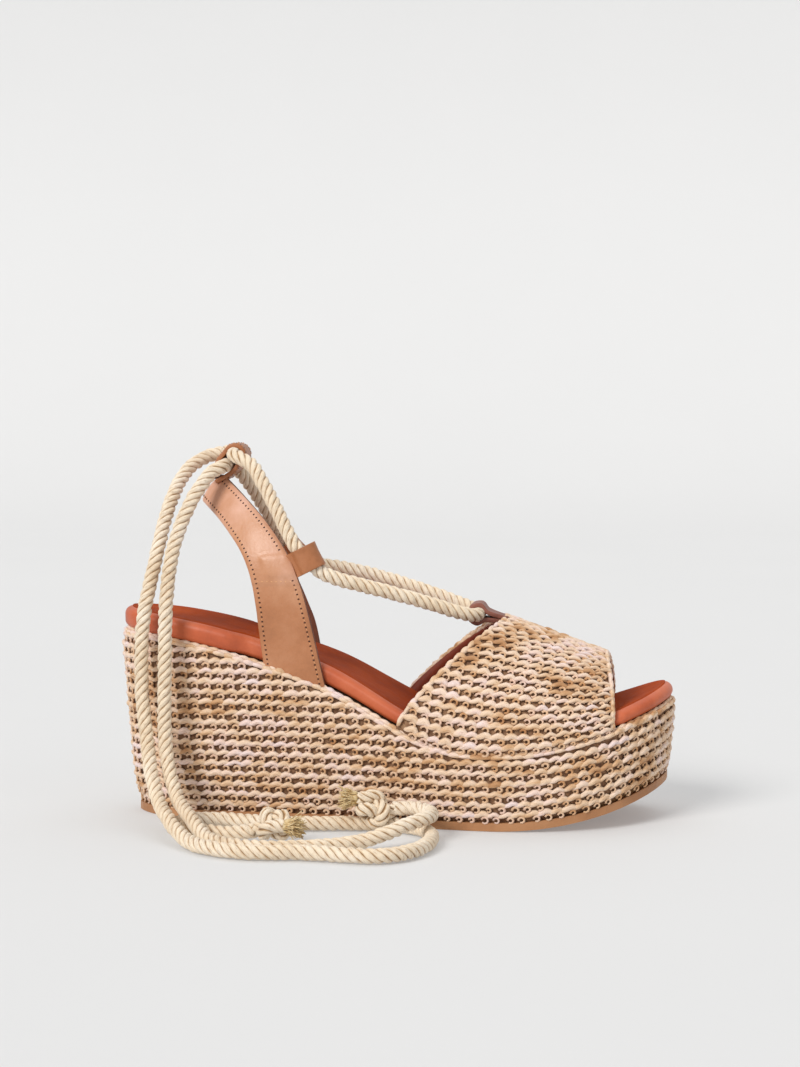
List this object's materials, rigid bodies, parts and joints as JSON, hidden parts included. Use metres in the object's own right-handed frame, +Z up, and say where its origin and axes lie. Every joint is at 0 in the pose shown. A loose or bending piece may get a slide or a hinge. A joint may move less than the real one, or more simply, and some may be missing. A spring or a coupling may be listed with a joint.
{
  "type": "wedge sandal",
  "caption": "Right-foot wedge sandal: woven platform wedge, open-toe woven vamp, leather heel sling that flexes, and a twisted rope lace with stopper knots.",
  "frame": {"origin": "on the floor, under the middle of the shoe's own bounding box without the rope lace", "axes": "+X towards the toe, +Y towards the inner side of the foot, +Z up"},
  "size_m": [0.251, 0.1601, 0.1672],
  "materials": {
    "outsole": "smooth matte tan",
    "core": "cork agglomerate, hidden",
    "weave": "woven raffia in cream, pinkish and ochre, matte",
    "board": "fibreboard, hidden",
    "felt": "felt, hidden",
    "foam": "cushion foam, hidden",
    "sock_leather": "smooth rust-orange leather",
    "lining_leather": "matte rust-brown lining",
    "tan_leather": "waxed tan leather",
    "brown_leather": "maroon-brown leather",
    "hemp": "twisted three-strand rope, matte"
  },
  "bodies": {
    "shoe": {"outsole": "outsole", "wedge_core": "core", "wedge_wrap": "weave", "insole_board": "board", "bottom_filler": "felt", "footbed_foam": "foam", "footbed_cover": "sock_leather", "vamp_weave": "weave", "vamp_lining": "lining_leather", "vamp_loop": "brown_leather", "strap_anchor_outer": "tan_leather", "strap_anchor_inner": "tan_leather", "rope_outer": "hemp", "rope_inner": "hemp", "knot_outer": "hemp", "knot_inner": "hemp"},
    "heel_sling": {"heel_strap": "tan_leather", "heel_strap_lining": "lining_leather", "side_loop_outer": "tan_leather", "side_loop_inner": "tan_leather", "heel_loop": "tan_leather"}
  },
  "joints": [
    {"name": "sling_flex", "type": "hinge", "parent": "shoe", "child": "heel_sling", "pos_m": [-0.04938, -0.00125, 0.08395], "axis": [-0.1371, 0.9889, 0.0565], "range_deg": [-12, 20], "stiffness_Nm_per_rad": 0.5, "deforming": ["rope_outer", "rope_inner"]}
  ]
}
